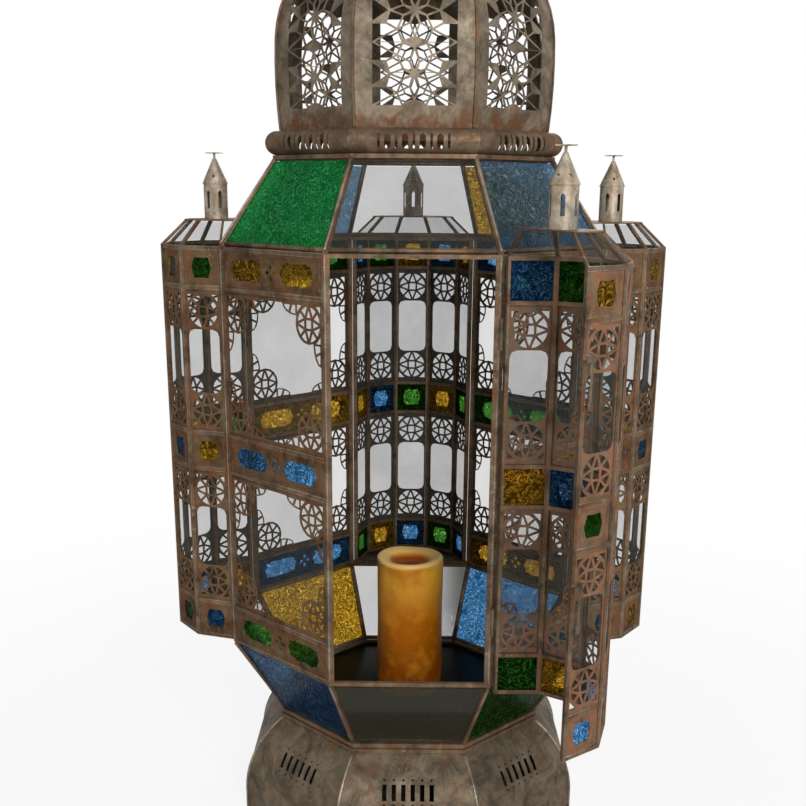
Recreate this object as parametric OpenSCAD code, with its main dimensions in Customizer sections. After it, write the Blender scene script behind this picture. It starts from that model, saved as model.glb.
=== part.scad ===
// Octagonal lantern floor lamp: a glazed eight-sided body with pierced metal
// screens, three fixed half-round turrets, a fourth turret that is the door,
// a pierced gore dome and a flared foot. A pillar candle stands inside.
// Millimetres, +Z up, origin at the middle of the underside. The doorway
// faces -Y and the door stands open.

/* [Body] */
// Length of one side of the main octagon, between post centres
side = 205; // [170:1:260]
// Height of the walls, sill to eave
wall_h = 550; // [500:1:650]
// Width of each leg of a folded corner post
post_leg = 5; // [4:0.5:8]
// Depth of posts and rails, front to back
frame_t = 6; // [5:0.5:9]
// Height of each rail
rail_h = 5; // [3:0.5:8]
// Height of the coloured bands
band_h = 46; // [42:1:56]
// Thickness of the pierced sheet
sheet_t = 1.2; // [0.8:0.1:2]
// Thickness of the glass
glass_t = 2.4; // [2:0.1:3]
// How far the pierced sheets lie behind the face of the rails
recess = 1; // [0.5:0.1:1.4]

/* [Lattice] */
// Size of one square lattice medallion
cell = 46; // [38:1:46]
// Width of the straps of the lattice
strap = 3; // [1.6:0.1:3.4]
// Plain border above and below the lattice
border = 6; // [3:0.5:10]
// Length of the small lobes beside a corner medallion
lobe_l = 27; // [18:1:30]
// Depth of the small lobes
lobe_d = 14; // [10:1:16]
// Width of a cartouche in a turret
cartouche_w = 29; // [22:1:34]
// Width of a cartouche in a wide wall
long_cartouche_w = 66; // [50:1:74]
// Height of the cartouches
cartouche_h = 29; // [22:1:34]
// Distance of a wide wall's cartouches from its middle
cartouche_off = 50; // [45:1:54]

/* [Turrets] */
// Radius of the half-decagon plan
turret_r = 94; // [80:1:100]
// Width of each leg of a turret post
turret_leg = 4; // [3:0.5:6]
// Size of the roof's top plate against its eave
turret_taper = 0.65; // [0.5:0.01:0.8]
// Rise of the turret roof
turret_rise = 31; // [20:1:50]
// Width of the bars of a turret roof
turret_bar = 5; // [4:0.5:7]
// Thickness of the top plate
top_plate_t = 1.5; // [1:0.1:3]
// Distance of the minaret from the wall
minaret_off = 20; // [20:1:36]
// Radius of the minaret
minaret_r = 16; // [12:0.5:19]
// Height of the minaret's round wall
minaret_h = 46; // [30:1:60]
// Height of the minaret's cone
minaret_cone_h = 33; // [20:1:50]
// Thickness of the minaret's sheet
minaret_t = 1.2; // [0.8:0.1:2]
// Length of the stem above the cone
stem_h = 7; // [4:0.5:15]
// Width across the star on the stem
star_w = 25; // [15:1:35]

/* [Roof] */
// Rise of the main roof
roof_rise = 114; // [80:1:160]
// Apothem of the roof's top
roof_top_r = 179; // [150:1:210]
// Width of the sloping bars
hip_w = 6; // [5:0.5:9]

/* [Dome] */
// Height of the half-round moulding under the dome
ring_h = 30; // [20:1:40]
// How far the moulding's flat back stands in from the roof's top
ring_inset = 3; // [1:0.5:5]
// How far the dome's foot stands in from the roof's top
dome_inset = 8; // [6:0.5:12]
// How far the dome's belly stands out past its foot
belly = 4; // [3:0.5:15]
// Height of the belly above the foot
belly_h = 76; // [60:1:90]
// Height of the upright lower part
barrel_h = 110; // [95:1:120]
// Radius of the shoulder's curve against the dome's foot
shoulder_k = 0.83; // [0.72:0.01:0.88]
// Slope at which the shoulder turns outward again
shoulder_end = 68; // [60:1:72]
// Radius of the hollow curve under the finial against the dome's foot
ogee_k = 0.5; // [0.4:0.01:0.52]
// Thickness of the dome's sheet
dome_t = 1.4; // [1:0.1:2]
// Height of the plain foot below the lattice
dome_plain = 25; // [15:1:35]
// Width of the dome's lattice
star_cell_w = 102; // [90:1:112]
// Height of one star of the dome's lattice
star_cell_h = 70; // [60:1:72]
// Width of the straps of the dome's lattice
star_strap = 2; // [1.6:0.1:2.6]
// Height of the finial
finial_h = 97; // [70:1:130]

/* [Foot and skirt] */
// Height of the flared base
base_h = 140; // [110:1:180]
// Apothem of the base at the floor
base_r = 240; // [215:1:280]
// Apothem of the base's top
neck_r = 184; // [160:1:200]
// Upright height at the bottom of the base
base_wall_h = 34; // [20:1:50]
// Height of the band between base and skirt
neck_h = 14; // [10:1:20]
// Height of the glass skirt
skirt_h = 116; // [90:1:150]
// Thickness of the base sheet
base_t = 1.5; // [1:0.1:2.5]
// Thickness of the plates under the base and the candle
plate_t = 2; // [1.5:0.1:4]

/* [Candle] */
// Diameter of the pillar candle
candle_d = 100; // [60:1:120]
// Height of the candle
candle_h = 208; // [100:1:260]
// Depth of the burnt hollow
candle_dip = 17; // [6:1:30]

/* [Door] */
// How far the door stands open
door_angle = 110; // [90:1:120]
// Clearance between the closed door and the posts
door_gap = 0.5; // [0.3:0.1:1]
// Radius of the hinge pins
pin_r = 2; // [1.5:0.1:2.5]
// Running clearance round the pins
pin_gap = 0.05; // [0.03:0.01:0.08]
// Outer radius of the hinge knuckles
knuckle_r = 4; // [3.8:0.1:4.4]
// Length of each of a hinge's three knuckles
knuckle_l = 12; // [8:1:20]
// Distance of the hinges from eave and sill
hinge_inset = 92; // [60:1:120]
// Thickness of the hinge plates
hinge_t = 1.4; // [1:0.1:1.8]
// Depth of the upper latch's pivot below the eave
upper_latch_drop = 92; // [80:1:180]
// Depth of the lower latch's pivot below the eave
lower_latch_drop = 338; // [310:1:420]
// Radius of the latch pivots
pivot_r = 1.5; // [1:0.1:2]
// Length of the latch's tail
tail_l = 44; // [25:1:60]
// Thickness of the latch
latch_t = 1.6; // [1:0.1:2]

/* [Hidden] */
$fn = 48;
// Clearance between neighbouring pieces that are soldered or slid together
joint_gap = 0.1;
// Half the angle that an octagon turns at a corner
half = 22.5;
// How a half-decagon turns at a corner
turret_turn = 36;
turret_faces = 5;
turret_half = turret_turn / 2;
wall_r = side / 2 / tan(half);
mould_r = roof_top_r - ring_inset;
dome_r = roof_top_r - dome_inset;
shoulder_r = dome_r * shoulder_k;
ogee_r = dome_r * ogee_k;
corner_r = side / 2 / sin(half);
turret_ra = turret_r * cos(turret_half);
turret_face_w = 2 * turret_r * sin(turret_half);
// Half the width of the top bead of the neck
neck_bead = 4;
// Depth of the groove between the two beads of the neck
neck_groove = 2.5;
// Inner ledge that carries the candle plate
neck_ledge = 12;
z_neck = base_h;
z_ledge = z_neck + neck_h * 0.55;
z_skirt = z_neck + neck_h;
z_sill = z_skirt + skirt_h;
z_eave = z_sill + wall_h;
z_roof_top = z_eave + roof_rise;
z_dome = z_roof_top + ring_h;
tier_h = (wall_h - 6 * rail_h - 3 * band_h) / 2;
fields = [band_h, tier_h, band_h, tier_h, band_h];
field_count = 5;
rail_count = 6;
wall_field_w = side - 2 * post_leg - 2 * joint_gap;
turret_field_w = turret_face_w - 2 * turret_leg - 2 * joint_gap;
// Distance from the lantern's axis to the flat side of a turret
turret_seat = wall_r + frame_t / 2 + joint_gap;
door_seat = wall_r + frame_t / 2 + door_gap;
// Azimuths, turning from the doorway towards +X
front = 0;
right = 90;
rear = 180;
left = -90;
front_left = -45;
front_right = 45;
rear_right = 135;
rear_left = 225;
cardinals = [front, right, rear, left];
diagonals = [front_right, rear_right, rear_left, front_left];
// Glass colours from the top band to the bottom band
wall_colours = [
    ["green", "amber", "blue"],
    ["blue", "green", "amber"],
    ["green", "amber", "blue"],
    ["amber", "blue", "green"]
];
// The same for a turret's five faces, left to right seen from outside
left_colours = [
    ["blue", "green", "amber"], ["green", "amber", "blue"], ["amber", "green", "amber"],
    ["clear", "blue", "green"], ["green", "amber", "blue"]
];
rear_colours = [
    ["amber", "green", "blue"], ["blue", "amber", "green"], ["amber", "green", "blue"],
    ["green", "blue", "amber"], ["blue", "amber", "green"]
];
right_colours = [
    ["green", "amber", "blue"], ["amber", "blue", "amber"], ["blue", "green", "amber"],
    ["green", "amber", "blue"], ["amber", "blue", "green"]
];
door_colours = [
    ["amber", "green", "blue"], ["blue", "amber", "green"], ["amber", "green", "blue"],
    ["green", "blue", "amber"], ["blue", "amber", "green"]
];
// Panes from the front round towards +X
roof_colours = ["clear", "blue", "clear", "amber", "clear", "blue", "clear", "green"];
skirt_colours = ["clear", "green", "amber", "blue", "clear", "amber", "clear", "blue"];
sheet_paint = "#7a6455";
frame_paint = "#8a7868";
dome_paint = "#6f665c";
glass_paint = [["clear", "#dfe9e6"], ["green", "#1e8a3a"], ["blue", "#2c5fa8"],
    ["amber", "#c9930e"]];

// ---- Outlines ------------------------------------------------------------

function rail_z(i) = i == 0 ? 0 : rail_z(i - 1) + rail_h + fields[i - 1];
function field_z(i) = rail_z(i) + rail_h;
function side_at(r) = 2 * r * tan(half);
function paint_of(c) = [for (p = glass_paint) if (p[0] == c) p[1]][0];

// A point at radius r and angle a
function polar(r, a) = [r * cos(a), r * sin(a)];

// A loop that runs counter-clockwise, drawn in by d on every edge
function inset(p, d) =
    let (n = len(p))
    [for (i = [0 : n - 1])
        let (a = p[(i + n - 1) % n], b = p[i], c = p[(i + 1) % n])
        let (u = (b - a) / norm(b - a), v = (c - b) / norm(c - b))
        let (m = [-u[1] - v[1], u[0] + v[0]], k = 1 + u * v)
        b + m * d / k];

function shifted(loops, v) = [for (l = loops) [for (p = l) p + v]];
function turned(loops, a) =
    [for (l = loops) [for (p = l) [p[0] * cos(a) - p[1] * sin(a), p[0] * sin(a) + p[1] * cos(a)]]];
function rect(w, h) = [[-w / 2, -h / 2], [w / 2, -h / 2], [w / 2, h / 2], [-w / 2, h / 2]];
function round_rect(w, h, r, steps) = [for (q = [0 : 3], i = [0 : steps])
    let (sx = (q == 0 || q == 3) ? 1 : -1, sy = q < 2 ? 1 : -1)
    [sx * (w / 2 - r), sy * (h / 2 - r)] + polar(r, 90 * q + 90 * i / steps)];

// One quarter of a medallion's holes, between 0 and 90 degrees; the fourth
// loop is the triangle outside the circle, in the corner of the square.
function quarter_holes(c, w) =
    let (r = c / 2, q = c * 0.14, a = [q, q], k = r * 0.48)
    [
        inset([a, polar(r, 0), polar(r, half), polar(r, 45)], w / 2),
        inset([a, polar(r, 45), polar(r, 90 - half), polar(r, 90)], w / 2),
        inset([a, polar(r, 90), [-q, q]], w / 2),
        inset([[r, k], [r, r], [k, r]], w / 4)
    ];

// All holes of a medallion: a square, a four-pointed star round it, eight
// sectors up to the circle, and the corners that `corners` marks with 1.
function medallion(c, w, corners = [1, 1, 1, 1]) = concat(
    [rect(c * 0.28 - w, c * 0.28 - w)],
    [for (i = [0 : 3], l = [0 : 3])
        if (l < 3 || corners[i] == 1) turned([quarter_holes(c, w)[l]], 90 * i)[0]]
);

// The free edge of a corner cluster, from the top border to the side border,
// for a corner at the origin with the sheet lying towards +x and +y.
function cluster_edge(c, w, l, d) =
    let (r = c / 2, rw = r + w / 2, a0 = asin((r - d) / rw))
    concat(
        [for (t = [0 : 22.5 : 67.5]) [c + l * cos(t), d * sin(t)]],
        [for (i = [0 : 6]) [r, r] + polar(rw, -a0 + (90 + 2 * a0) * i / 6)],
        [for (t = [67.5 : -22.5 : 0]) [d * sin(t), c + l * cos(t)]]
    );

// Two holes that fan out in a small lobe along x
function lobe_holes(c, w, l, d) =
    let (o = [c + l * 0.34, 0], e = [c + l * cos(58), d * sin(58)], f = [c, d])
    [
        inset([[c, 0], o, e, f], w / 2),
        inset([o, [c + l, 0], [c + l * cos(28), d * sin(28)], e], w / 2)
    ];

// All holes of a corner cluster: the medallion and a lobe on either side
function cluster_holes(c, w, l, d) = concat(
    shifted(medallion(c, w, [0, 1, 1, 1]), [c / 2, c / 2]),
    lobe_holes(c, w, l, d),
    [for (p = lobe_holes(c, w, l, d)) [for (q = p) [q[1], q[0]]]]
);

// The four corner clusters of a w by h window, and its lobed opening
function arch_holes(w, h) =
    let (edge = cluster_edge(cell, strap, lobe_l, lobe_d))
    let (x = w / 2, y = h / 2, n = len(edge) - 1)
    concat(
        [concat(
            [for (i = [n : -1 : 0]) [x - edge[i][0], y - edge[i][1]]],
            [for (i = [0 : n]) [edge[i][0] - x, y - edge[i][1]]],
            [for (i = [n : -1 : 0]) [edge[i][0] - x, edge[i][1] - y]],
            [for (i = [0 : n]) [x - edge[i][0], edge[i][1] - y]]
        )],
        [for (s = [[1, 1], [-1, 1], [-1, -1], [1, -1]],
            l = cluster_holes(cell, strap, lobe_l, lobe_d))
            [for (p = l) [s[0] * (p[0] - x), s[1] * (p[1] - y)]]]
    );

// A cartouche: a rounded rectangle whose edge is drawn in n shallow lobes
function cartouche(w, h, n) =
    [for (i = [0 : 2 * n - 1])
        let (t = 180 * i / n, f = i % 2 == 0 ? 1 : 0.88)
        let (cx = cos(t), cy = sin(t))
        [sign(cx) * sqrt(abs(cx)) * f * w / 2, sign(cy) * sqrt(abs(cy)) * f * h / 2]];

// The holes of a star: kites round its middle, petals between them, and from
// the petals' tips to the edge of the field a triangle on either side and two
// holes in each corner
function star_holes(w, h, s) =
    let (n = 8, r = h / 2, step = 360 / n, web = s / 2)
    let (hub = r * 0.08, waist = r * 0.42, notch = r * 0.84, tip = polar(r * 1.05, step / 2))
    let (n45 = polar(notch, step), side = w / 2, top = r * 1.02)
    concat(
        [for (i = [0 : n - 1]) let (a = step * i)
            inset([polar(hub, a), polar(waist, a - step / 2), polar(notch, a),
                polar(waist, a + step / 2)], web)],
        [for (i = [0 : n - 1]) let (a = step * (i + 0.5))
            inset([polar(waist, a), polar(notch, a - step / 2), polar(r * 1.05, a),
                polar(notch, a + step / 2)], web)],
        [for (m = [1, -1]) [for (q = inset([[notch, 0], [side, -tip[1]], [side, tip[1]]], web))
            [q[0] * m, q[1]]]],
        [for (m = [[1, 1], [-1, 1], [-1, -1], [1, -1]], l = [
            [tip, [side, tip[1]], [side, top], n45], [n45, [side, top], [tip[1], top]]
        ]) [for (q = inset(l, web)) [q[0] * m[0], q[1] * m[1]]]]
    );

// ---- Placing -------------------------------------------------------------

// x runs along the wall, y up and z outward, at azimuth az and apothem r
module on_wall(az, r, z = 0) {
    rotate([0, 0, az]) translate([0, -r, z]) rotate([90, 0, 0]) children();
}

// The same on a face that runs from apothem r0 at z0 to apothem r1 at z1
module on_slope(az, r0, z0, r1, z1) {
    rotate([0, 0, az]) translate([0, -r0, z0])
        rotate([90 - atan2(r0 - r1, z1 - z0), 0, 0]) children();
}

// An outline of apothem x and height y, drawn along one side of the octagon
module along_side(az, w) {
    rotate([0, 0, az]) rotate([90, 0, -90]) linear_extrude(w, center = true) children();
}

// The slice of the octagon that belongs to one side
module mitre_slice(az, r, z0, z1) {
    rotate([0, 0, az]) translate([0, -joint_gap / 2 / sin(half), z0])
        linear_extrude(z1 - z0) polygon([[0, 0], [r * tan(half), -r], [-r * tan(half), -r]]);
}

module at_turret(az, seat = turret_seat) {
    rotate([0, 0, az]) translate([0, -seat, 0]) children();
}

hinge_x = side / 2 + 4.5;
hinge_y = -(wall_r + 6);

// The door's own frame, which is the lantern's frame while the door is shut
module open_door() {
    translate([hinge_x, hinge_y, 0]) rotate([0, 0, door_angle])
        translate([-hinge_x, -hinge_y, 0]) children();
}

// ---- Parts of walls ------------------------------------------------------

module pierced_sheet(outline, holes, t) {
    loops = concat([outline], holes);
    starts = [for (i = 0, s = 0; i < len(loops); s = s + len(loops[i]), i = i + 1) s];
    linear_extrude(t)
        polygon([for (l = loops) each l],
            [for (i = [0 : len(loops) - 1]) [for (j = [0 : len(loops[i]) - 1]) starts[i] + j]]);
}

// A folded strip: two legs that follow the walls on either side of a corner
function post_outline(turn, leg) =
    let (c = cos(turn / 2), s = sin(turn / 2), t = frame_t / 2)
    [
        [0, -t / c], [c * leg + s * t, s * leg - c * t], [c * leg - s * t, s * leg + c * t],
        [0, t / c], [-c * leg + s * t, s * leg + c * t], [-c * leg - s * t, s * leg - c * t]
    ];

// The strip at the flat side of a turret, on its left
function end_post_outline() =
    let (a = turret_turn * 2, d = [cos(a), -sin(a)], n = [-sin(a), -cos(a)])
    let (v = [-turret_r, 0], p = v + d * turret_leg + n * frame_t / 2)
    let (q = v + d * turret_leg - n * frame_t / 2)
    [p, p - d * p[1] / d[1], q - d * q[1] / d[1], q];

module face_rails(az, r, w, which) {
    for (i = which)
        on_wall(az, r, z_sill + rail_z(i)) translate([-w / 2, 0, -frame_t / 2])
            cube([w, rail_h, frame_t]);
}

// Where a field's sheet lies, measured outward from the wall's centre plane
sheet_z = frame_t / 2 - recess - sheet_t;
glass_z = sheet_z - joint_gap - glass_t;

module field_sheet(az, r, w, i, holes) {
    h = fields[i] - 2 * joint_gap;
    on_wall(az, r, z_sill + field_z(i) + fields[i] / 2) translate([0, 0, sheet_z])
        pierced_sheet(rect(w, h), holes, sheet_t);
}

module field_pane(az, r, w, i) {
    h = fields[i] - 2 * joint_gap;
    on_wall(az, r, z_sill + field_z(i) + fields[i] / 2)
        translate([-w / 2, -h / 2, glass_z]) cube([w, h, glass_t]);
}

function is_band(i) = i % 2 == 0;
function band_colour(colours, i) = colours[2 - i / 2];

module turret_field_panes(colours, colour) {
    for (k = [0 : turret_faces - 1], i = [0 : field_count - 1])
        if (is_band(i) ? band_colour(colours[k], i) == colour : colour == "window")
            field_pane((k - 2) * turret_turn, turret_ra, turret_field_w, i);
}

turret_band_holes = [cartouche(cartouche_w, cartouche_h, 6)];
lattice_y = tier_h / 2 - border - cell / 2;
// A window between two medallions that keep only their outer corner holes
turret_tier_holes = concat(
    [round_rect(cell, 2 * lattice_y - cell - strap / 2, 9, 2)],
    shifted(medallion(cell, strap, [1, 1, 0, 0]), [0, lattice_y]),
    shifted(medallion(cell, strap, [0, 0, 1, 1]), [0, -lattice_y])
);
wall_band_holes = concat(
    [for (x = [-cartouche_off, cartouche_off])
        shifted([cartouche(long_cartouche_w, cartouche_h, 10)], [x, 0])[0]],
    [for (a = [0 : 90 : 270]) turned([inset([[2, 0], [7, -4], [12, 0], [7, 4]], 0.4)], a)[0]]
);
wall_tier_holes = arch_holes(wall_field_w - 5, tier_h - 2 * border);

module wall_screen(az) {
    color(sheet_paint)
        for (i = [0 : field_count - 1])
            field_sheet(az, wall_r, wall_field_w, i,
                is_band(i) ? wall_band_holes : wall_tier_holes);
}

module turret_screen() {
    color(sheet_paint)
        for (k = [0 : turret_faces - 1], i = [0 : field_count - 1])
            field_sheet((k - 2) * turret_turn, turret_ra, turret_field_w, i,
                is_band(i) ? turret_band_holes : turret_tier_holes);
}

// ---- Turret frame and roof -----------------------------------------------

turret_top_r = turret_r * turret_taper;
turret_top_ra = turret_ra * turret_taper;
// Clear distance that the top plate reaches back over the main eave
plate_back = turret_rise * (wall_r - roof_top_r) / roof_rise;

module turret_posts() {
    translate([0, 0, z_sill]) {
        for (s = [0, 1]) mirror([s, 0, 0])
            linear_extrude(wall_h) polygon(end_post_outline());
        for (k = [1 : turret_faces - 1])
            rotate([0, 0, (k - 2.5) * turret_turn]) translate([0, -turret_r, 0])
                linear_extrude(wall_h) polygon(post_outline(turret_turn, turret_leg));
    }
}

// A sloping bar in the upright plane at azimuth az, with level ends
module hip_bar(az, r0, z0, r1, z1, w) {
    rotate([0, 0, az]) rotate([90, 0, -90]) linear_extrude(w, center = true)
        polygon([[r0 - w / 2, z0], [r0 + w / 2, z0], [r1 + w / 2, z1], [r1 - w / 2, z1]]);
}

module turret_roof_bars() {
    for (k = [1 : turret_faces - 1])
        hip_bar((k - 2.5) * turret_turn, turret_r, z_eave + joint_gap, turret_top_r,
            z_eave + turret_rise - joint_gap, turret_bar);
    for (s = [-1, 1])
        intersection() {
            hip_bar(s * 90, turret_r, z_eave + joint_gap, turret_top_r,
                z_eave + turret_rise - joint_gap, turret_bar);
            translate([-turret_r * 2, -turret_bar / 2, z_eave])
                cube([turret_r * 4, turret_bar / 2, turret_rise]);
        }
}

module turret_top_plate(back) {
    rim = turret_bar / 2;
    outline = concat(
        [for (k = [0 : turret_faces]) polar(turret_top_r + rim, 180 + turret_turn * k)],
        [[turret_top_r + rim, back], [-turret_top_r - rim, back]]
    );
    translate([0, 0, z_eave + turret_rise]) linear_extrude(top_plate_t) polygon(outline);
}

module turret_frame(back) {
    color(frame_paint) {
        turret_posts();
        for (k = [0 : turret_faces - 1])
            face_rails((k - 2) * turret_turn, turret_ra,
                turret_face_w - 2 * turret_leg - 2 * joint_gap, [0 : rail_count - 1]);
        turret_roof_bars();
        turret_top_plate(back);
    }
}

// A sloping pane, narrower at one end, held between the bars
module sloping_pane(az, r0, z0, r1, z1, w0, w1, bar, turn) {
    len_up = norm([r0 - r1, z1 - z0]);
    trim = glass_t / 2;
    clear_side = (bar + glass_t * sin(turn / 2)) / 2 / cos(turn / 2) + joint_gap;
    on_slope(az, r0, z0, r1, z1) translate([0, 0, -glass_t / 2]) linear_extrude(glass_t)
        intersection() {
            polygon(inset([[-w0 / 2, 0], [w0 / 2, 0], [w1 / 2, len_up], [-w1 / 2, len_up]],
                clear_side));
            translate([-w0 - w1, trim]) square([2 * (w0 + w1), len_up - 2 * trim]);
        }
}

module turret_roof() {
    color(paint_of("clear"))
        for (k = [0 : turret_faces - 1])
            sloping_pane((k - 2) * turret_turn, turret_ra, z_eave, turret_top_ra,
                z_eave + turret_rise, turret_face_w, turret_face_w * turret_taper, turret_bar,
                turret_turn);
}

// ---- Minarets ------------------------------------------------------------

minaret_slots = 6;
module minaret() {
    slot_w = minaret_r * 0.3;
    slot_h = minaret_h * 0.45;
    base_z = z_eave + turret_rise + top_plate_t + joint_gap;
    color(dome_paint) translate([0, -minaret_off, base_z]) {
        difference() {
            cylinder(r = minaret_r, h = minaret_h);
            translate([0, 0, -1]) cylinder(r = minaret_r - minaret_t, h = minaret_h + 2);
            for (a = [0 : 180 / minaret_slots * 2 : 179])
                rotate([0, 0, a]) translate([0, 0, minaret_h * 0.3]) rotate([90, 0, 0])
                    linear_extrude(minaret_r * 4, center = true)
                        polygon([[-slot_w / 2, 0], [slot_w / 2, 0], [slot_w / 2, slot_h],
                            [0, slot_h + slot_w * 0.7], [-slot_w / 2, slot_h]]);
        }
        translate([0, 0, minaret_h]) difference() {
            cylinder(r1 = minaret_r + 1.5, r2 = stem_r * 1.5, h = minaret_cone_h);
            translate([0, 0, -0.01])
                cylinder(r1 = minaret_r - minaret_t, r2 = 0.5, h = minaret_cone_h - 6);
            for (a = [30 : 60 : 179])
                rotate([0, 0, a]) translate([0, 0, minaret_cone_h * 0.3]) rotate([90, 0, 0])
                    cylinder(r = 2, h = minaret_r * 4, center = true, $fn = 4);
        }
        translate([0, 0, minaret_h + minaret_cone_h - 1]) cylinder(r = stem_r, h = stem_h + 1);
        translate([0, 0, minaret_h + minaret_cone_h + stem_h - 0.5]) linear_extrude(1.2)
            polygon([for (i = [0 : 15]) polar(i % 2 == 0 ? star_w / 2 : star_w * 0.17, 22.5 * i)]);
    }
}
stem_r = 1.6;

// ---- Base, skirt and plates ----------------------------------------------

// Plan of an octagon of apothem r
module octagon(r) {
    polygon([for (i = [0 : 7]) polar(r / cos(half), half + 45 * i)]);
}

module base_plate() {
    color(frame_paint) {
        linear_extrude(plate_t) octagon(base_r - base_t - joint_gap);
    }
}

// The flare is an arc that ends upright above the base's straight foot
flare_run = base_r - neck_r;
flare_rise = base_h - base_wall_h;
flare_r = (flare_run * flare_run + flare_rise * flare_rise) / 2 / flare_run;
base_slots = 6;
slot_pitch = 13;

module base_profile() {
    translate([base_r - base_t, 0]) square([base_t, base_wall_h]);
    intersection() {
        translate([base_r - flare_r, base_wall_h]) difference() {
            circle(r = flare_r);
            circle(r = flare_r - base_t);
        }
        translate([neck_r - neck_bead, base_wall_h]) square([flare_run + neck_bead, flare_rise]);
    }
    translate([neck_r - neck_ledge, base_h - base_t]) square([neck_ledge + base_t, base_t]);
}

module base_cuts() {
    slot_l = 22;
    slot_w = 6;
    for (i = [0 : base_slots - 1]) {
        x = (i - (base_slots - 1) / 2) * slot_pitch;
        translate([x - slot_w / 2, -slot_l / 2]) square([slot_w, slot_l]);
        for (y = [-slot_l / 2 - 6, slot_l / 2 + 6]) translate([x, y]) circle(r = 2, $fn = 4);
    }
}

module base_skirt() {
    // The cuts are made square to the flare, where it leans at this angle
    lean = 30;
    mid = [base_r - flare_r, base_wall_h] + polar(flare_r, lean);
    color(dome_paint)
        for (i = [0 : 7])
            difference() {
                intersection() {
                    along_side(45 * i, side_at(base_r)) base_profile();
                    mitre_slice(45 * i, base_r * 1.2, 0, base_h);
                }
                rotate([0, 0, 45 * i]) translate([0, -mid[0], mid[1]]) rotate([90 - lean, 0, 0])
                    linear_extrude(base_t * 12, center = true) base_cuts();
            }
}

module neck_band() {
    out = neck_r + neck_bead;
    mid = z_ledge - z_neck;
    color(frame_paint)
        for (i = [0 : 7])
            intersection() {
                along_side(45 * i, side_at(out)) translate([0, z_neck + joint_gap / 2]) polygon([
                    [neck_r - neck_ledge, 0], [out, 0], [out, neck_h * 0.4],
                    [out - neck_groove, neck_h * 0.4], [out - neck_groove, neck_h * 0.6],
                    [out, neck_h * 0.6], [out, neck_h - joint_gap],
                    [neck_r - neck_bead, neck_h - joint_gap], [neck_r - neck_bead, mid],
                    [neck_r - neck_ledge, mid]
                ]);
                mitre_slice(45 * i, out * 1.2, z_neck, z_skirt);
            }
}

module floor_plate() {
    color(dome_paint) translate([0, 0, z_ledge + joint_gap]) linear_extrude(plate_t)
        octagon(neck_r - neck_bead - joint_gap * 3);
}

module skirt_frame() {
    color(frame_paint)
        for (i = [0 : 7])
            hip_bar(half + 45 * i, neck_r / cos(half), z_skirt + joint_gap, corner_r,
                z_sill - joint_gap, hip_w);
}

module skirt_glass(colour) {
    color(paint_of(colour))
        for (i = [0 : 7])
            if (skirt_colours[i] == colour)
                sloping_pane(45 * i, neck_r, z_skirt, wall_r, z_sill, side_at(neck_r), side,
                    hip_w, 2 * half);
}

module candle() {
    r = candle_d / 2;
    color("#d98a2b") translate([0, 0, z_ledge + plate_t + joint_gap * 2]) rotate_extrude($fn = 96)
        polygon([
            [0, 0], [r - 1.5, 0], [r, 1.5], [r, candle_h - 3], [r - 3, candle_h],
            [r * 0.88, candle_h - 1], [r * 0.8, candle_h - candle_dip * 0.5],
            [r * 0.55, candle_h - candle_dip * 0.92], [0, candle_h - candle_dip]
        ]);
}

module candle_wick() {
    color("#2b2420")
        translate([0, 0, z_ledge + plate_t + candle_h - candle_dip + joint_gap * 3])
            cylinder(r = 1.2, h = candle_dip * 0.8);
}

// ---- Body ----------------------------------------------------------------

module corner_posts() {
    color(frame_paint) {
        for (i = [0 : 7])
            rotate([0, 0, half + 45 * i]) translate([0, -corner_r, z_sill])
                linear_extrude(wall_h) polygon(post_outline(45, post_leg));
        for (drop = [upper_latch_drop, lower_latch_drop]) latch_keeper(z_eave - drop);
    }
}

module wall_rails() {
    color(frame_paint) {
        for (az = diagonals) face_rails(az, wall_r, wall_field_w, [0 : rail_count - 1]);
        for (az = cardinals) face_rails(az, wall_r, wall_field_w, [0, rail_count - 1]);
    }
}

module window_glass() {
    color(paint_of("clear"))
        for (az = diagonals, i = [0 : field_count - 1])
            if (!is_band(i)) field_pane(az, wall_r, wall_field_w, i);
}

module band_glass(colour) {
    color(paint_of(colour)) {
        for (w = [0 : 3], i = [0 : field_count - 1])
            if (is_band(i) && band_colour(wall_colours[w], i) == colour)
                field_pane(diagonals[w], wall_r, wall_field_w, i);
        at_turret(left) turret_field_panes(left_colours, colour);
        at_turret(rear) turret_field_panes(rear_colours, colour);
        at_turret(right) turret_field_panes(right_colours, colour);
    }
}

module turret_windows() {
    color(paint_of("clear")) turret_field_panes(door_colours, "window");
}

// ---- Roof ----------------------------------------------------------------

module roof_frame() {
    rail_top = z_roof_top - rail_h;
    color(frame_paint)
        for (i = [0 : 7]) {
            hip_bar(half + 45 * i, corner_r, z_eave + joint_gap,
                roof_top_r / cos(half), rail_top - joint_gap, hip_w);
            intersection() {
                along_side(45 * i, side_at(roof_top_r + hip_w))
                    translate([roof_top_r - hip_w / 2, rail_top]) square([hip_w, rail_h]);
                mitre_slice(45 * i, roof_top_r * 1.2, rail_top, z_roof_top);
            }
        }
}

module roof_glass(colour) {
    color(paint_of(colour))
        for (i = [0 : 7])
            if (roof_colours[i] == colour)
                sloping_pane(45 * i, wall_r, z_eave, roof_top_r, z_roof_top - rail_h,
                    side, side_at(roof_top_r), hip_w, 2 * half);
}

// ---- Dome ----------------------------------------------------------------

module dome_ring_profile() {
    r = ring_h / 2;
    flange = 5;
    translate([mould_r, r]) intersection() {
        difference() {
            circle(r = r);
            circle(r = r - dome_t);
        }
        translate([0, -r]) square([r, 2 * r]);
    }
    // The lower flange lies on the roof's rail, the upper one carries the dome
    translate([mould_r - flange, 0]) square([flange + 0.5, dome_t]);
    translate([dome_r - flange, ring_h - dome_t])
        square([mould_r - dome_r + flange + 0.5, dome_t]);
}

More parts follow.
